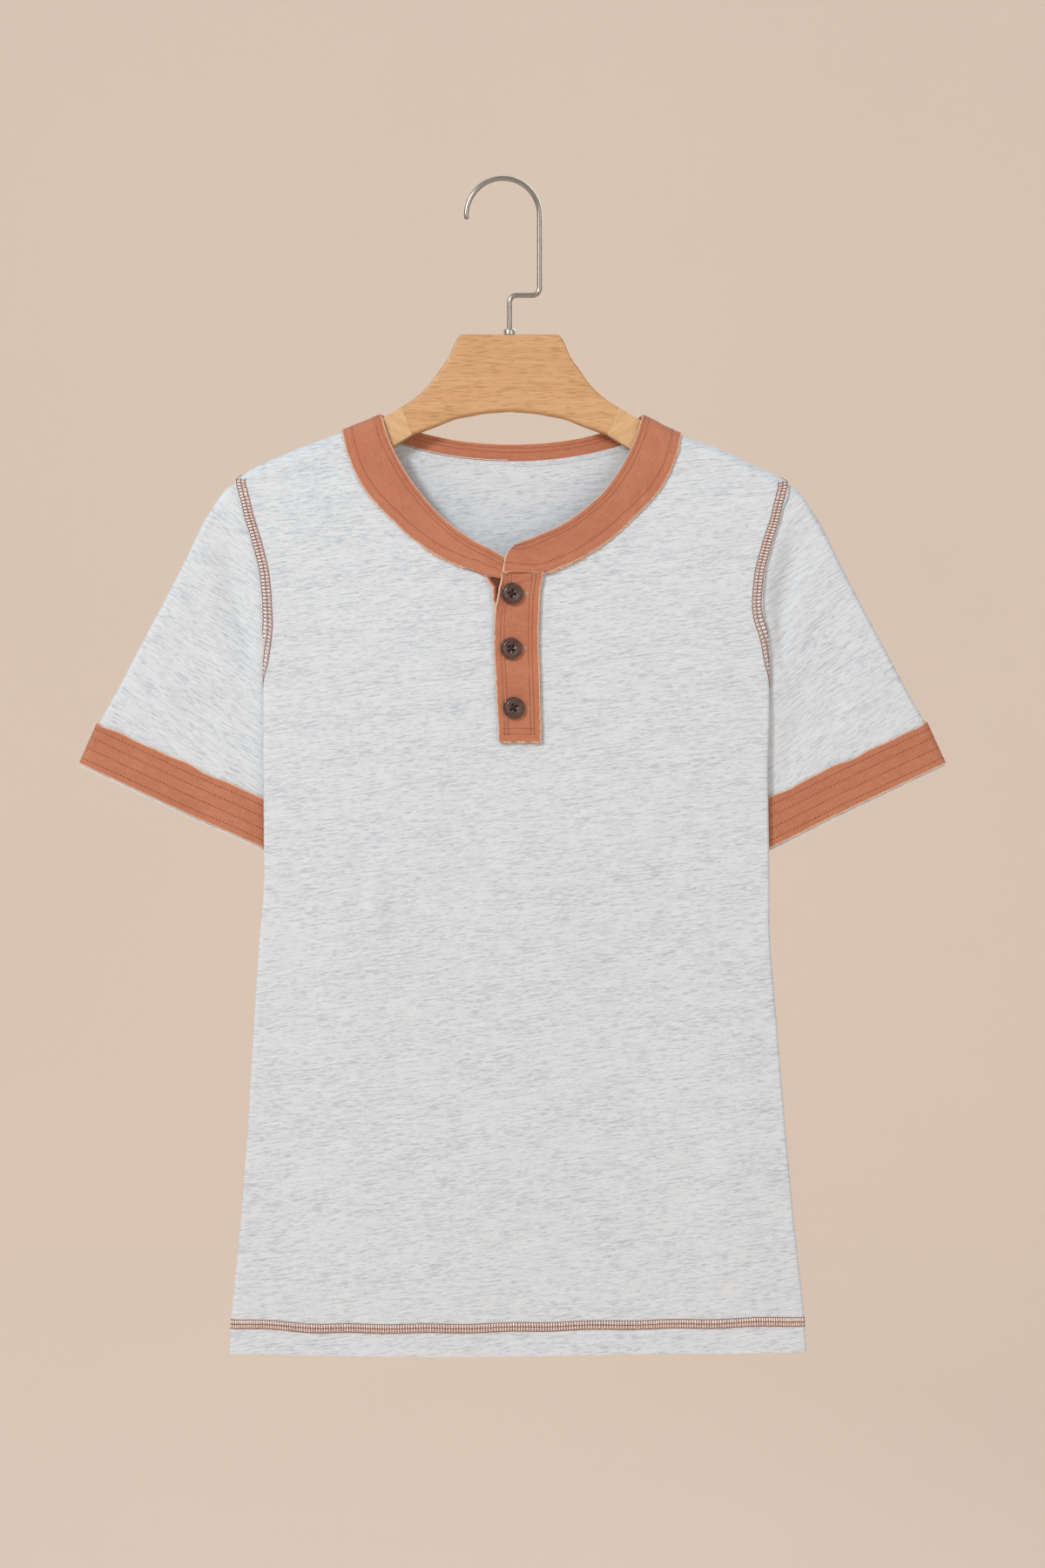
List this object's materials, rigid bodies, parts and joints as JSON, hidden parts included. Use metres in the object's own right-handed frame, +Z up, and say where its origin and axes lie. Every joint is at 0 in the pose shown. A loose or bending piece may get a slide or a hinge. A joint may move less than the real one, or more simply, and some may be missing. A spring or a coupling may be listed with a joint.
{
  "type": "henley shirt on a wooden hanger",
  "caption": "Short-sleeved jersey henley with a woven raw-edge neckband, buttoned placket and cuff bands, hung flat on a wooden hanger with a wire hook.",
  "frame": {"origin": "inside crown of the hanger's hook, where a rail or wall hook carries it", "axes": "+Z up, -Y towards the front of the shirt, +X to the viewer's right when facing the front"},
  "size_m": [0.5991, 0.0292, 0.8179],
  "materials": {
    "jersey": "light grey heather cotton jersey with fine blue-grey streaks across",
    "woven_band": "rust woven cotton with raw edges and rows of running stitch",
    "button": "dark brown horn look, semi-gloss",
    "wood_middle": "lacquered beech, orange tan with fine dark flecks",
    "wood_arm": "lacquered pale wood",
    "steel": "nickel-plated wire"
  },
  "bodies": {
    "root": {"front_panel": "jersey", "back_panel": "jersey", "sleeve_left": "jersey", "sleeve_right": "jersey", "cuff_band_left": "woven_band", "cuff_band_right": "woven_band", "neckband": "woven_band", "placket_under": "woven_band", "placket_top": "woven_band", "button_1": "button", "button_2": "button", "button_3": "button", "hanger_body": "wood_middle", "hanger_arm_left": "wood_arm", "hanger_arm_right": "wood_arm", "hanger_ferrule": "steel", "hanger_hook": "steel"}
  },
  "joints": []
}
